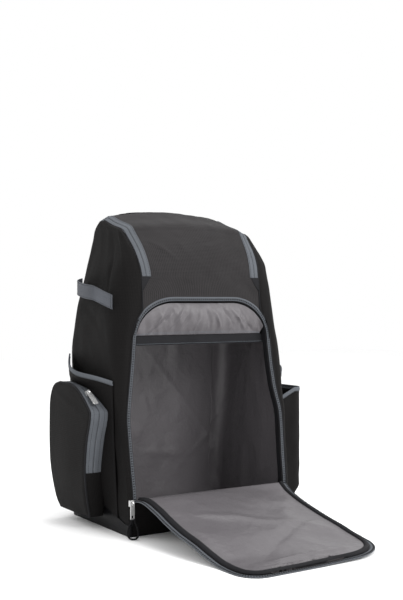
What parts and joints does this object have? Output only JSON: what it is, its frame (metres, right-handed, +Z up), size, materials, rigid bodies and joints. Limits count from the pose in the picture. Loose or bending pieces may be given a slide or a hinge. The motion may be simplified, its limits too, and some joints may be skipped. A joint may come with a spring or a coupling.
{
  "type": "baseball bat backpack",
  "caption": "Black cloth backpack with an unzipped front panel lying open, side bat sleeves with strap loops, a zipped side pocket, a bottle pocket and a grey lined compartment.",
  "frame": {"origin": "on the floor under the middle of the bag's body, on the flat base", "axes": "+Z up; the front opening and its flap face -Y; +X is to the right as seen from in front; the back and shoulder straps face +Y"},
  "size_m": [0.4729, 0.5716, 0.565],
  "materials": {
    "side_cloth": "matt black woven polyester",
    "ripstop": "black ripstop with a fine grid",
    "coated_cloth": "smooth coated black cloth",
    "lining": "grey lining, slightly shiny",
    "dark_binding": "black woven binding",
    "zip_tape": "bluish grey zip tape and binding",
    "grey_webbing": "grey polyester webbing",
    "black_webbing": "black polyester webbing",
    "air_mesh": "black padded spacer mesh",
    "slider_metal": "bare die-cast metal, lightly brushed",
    "nylon": "black moulded nylon",
    "cord": "black braided cord"
  },
  "bodies": {
    "bag": {"side_panel_left": "side_cloth", "side_panel_right": "side_cloth", "lid_panel": "ripstop", "back_panel": "air_mesh", "front_lower_panel": "side_cloth", "boot_left": "coated_cloth", "boot_right": "coated_cloth", "base_panel": "coated_cloth", "lid_zip_tape_left": "zip_tape", "lid_zip_tape_right": "zip_tape", "lid_zip_tape_back": "zip_tape", "lid_zip_slider": "slider_metal", "zip_garage_left": "dark_binding", "zip_garage_right": "dark_binding", "opening_zip_tape": "zip_tape", "opening_facing": "dark_binding", "lining_curtain": "lining", "shelf_band": "dark_binding", "shelf_panel": "dark_binding", "compartment_lining": "lining", "compartment_floor": "lining", "flap_panel": "ripstop", "flap_lining": "lining", "flap_binding": "dark_binding", "flap_zip_tape": "zip_tape", "main_zip_slider": "slider_metal", "main_pull": "slider_metal", "main_pull_cord": "cord", "sleeve_left": "side_cloth", "sleeve_left_binding": "zip_tape", "bat_strap_left": "grey_webbing", "pocket_face": "ripstop", "pocket_gusset": "side_cloth", "pocket_zip_tape": "zip_tape", "pocket_zip_slider": "slider_metal", "sleeve_right": "side_cloth", "sleeve_right_binding": "zip_tape", "bat_strap_right": "grey_webbing", "bottle_pocket": "side_cloth", "bottle_pocket_binding": "zip_tape", "bottle_pocket_floor": "side_cloth", "haul_handle": "black_webbing", "shoulder_strap_left": "air_mesh", "shoulder_strap_right": "air_mesh", "strap_webbing_left": "black_webbing", "strap_webbing_right": "black_webbing", "strap_adjuster_left": "nylon", "strap_adjuster_right": "nylon"},
    "pocket_pull": {"pocket_pull_tab": "slider_metal"}
  },
  "joints": [
    {"name": "pocket_pull_swing", "type": "hinge", "parent": "bag", "child": "pocket_pull", "pos_m": [-0.2028, -0.0468, 0.2393], "axis": [-1, 0, 0], "range_deg": [0, 90]}
  ]
}
